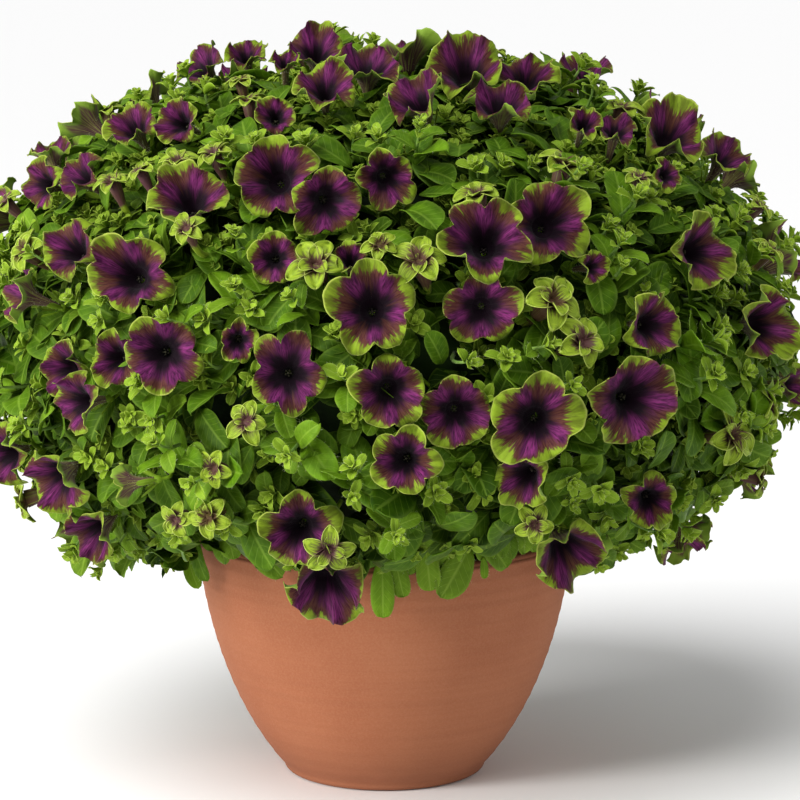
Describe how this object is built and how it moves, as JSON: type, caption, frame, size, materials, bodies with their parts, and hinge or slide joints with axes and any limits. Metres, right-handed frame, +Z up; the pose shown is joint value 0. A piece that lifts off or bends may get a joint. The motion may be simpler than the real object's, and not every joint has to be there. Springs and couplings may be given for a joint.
{
  "type": "potted petunia",
  "caption": "Free-standing mounded petunia in a rounded terracotta pot: a dense dome of leaves and lime-edged purple trumpet blooms that hangs round the rim.",
  "frame": {"origin": "middle of the pot's foot, on the surface that it stands on", "axes": "+Z up; -Y towards the front of the bush as pictured; +X to its right. The foliage isn't symmetric, so X and Y follow the pictured front"},
  "size_m": [0.6491, 0.6579, 0.5797],
  "materials": {
    "terracotta": "matte",
    "potting_mix": "matte",
    "foliage": "matte",
    "petals": "matte"
  },
  "bodies": {
    "root": {"pot": "terracotta", "potting_mix": "potting_mix", "leafy_growth": "foliage", "bloom_spray_01": "petals", "bloom_spray_02": "petals", "bloom_spray_03": "petals", "bloom_spray_04": "petals", "bloom_spray_05": "petals", "bloom_spray_06": "petals", "bloom_spray_07": "petals", "bloom_spray_08": "petals", "bloom_spray_09": "petals", "bloom_spray_10": "petals", "bloom_spray_11": "petals", "bloom_spray_12": "petals", "bloom_spray_13": "petals", "bloom_spray_14": "petals", "bloom_spray_15": "petals", "bloom_spray_16": "petals", "bloom_spray_17": "petals", "bloom_spray_18": "petals", "bloom_spray_19": "petals", "bloom_spray_20": "petals", "bloom_spray_21": "petals", "bloom_spray_22": "petals", "bloom_spray_23": "petals", "bloom_spray_24": "petals", "bloom_spray_25": "petals", "bloom_spray_26": "petals", "bloom_spray_27": "petals", "bloom_spray_28": "petals", "bloom_spray_29": "petals", "bloom_spray_30": "petals", "bloom_spray_31": "petals", "bloom_spray_32": "petals", "bloom_spray_33": "petals", "bloom_spray_34": "petals", "bloom_spray_35": "petals", "bloom_spray_36": "petals", "bloom_spray_37": "petals", "bloom_spray_38": "petals", "bloom_spray_39": "petals", "bloom_spray_40": "petals", "bloom_spray_41": "petals", "bloom_spray_42": "petals", "bloom_spray_43": "petals", "bloom_spray_44": "petals", "bloom_spray_45": "petals", "bloom_spray_46": "petals", "bloom_spray_47": "petals", "bloom_spray_48": "petals", "bloom_spray_49": "petals", "bloom_spray_50": "petals", "bloom_spray_51": "petals", "bloom_spray_52": "petals", "bloom_spray_53": "petals", "bloom_spray_54": "petals"}
  },
  "joints": []
}
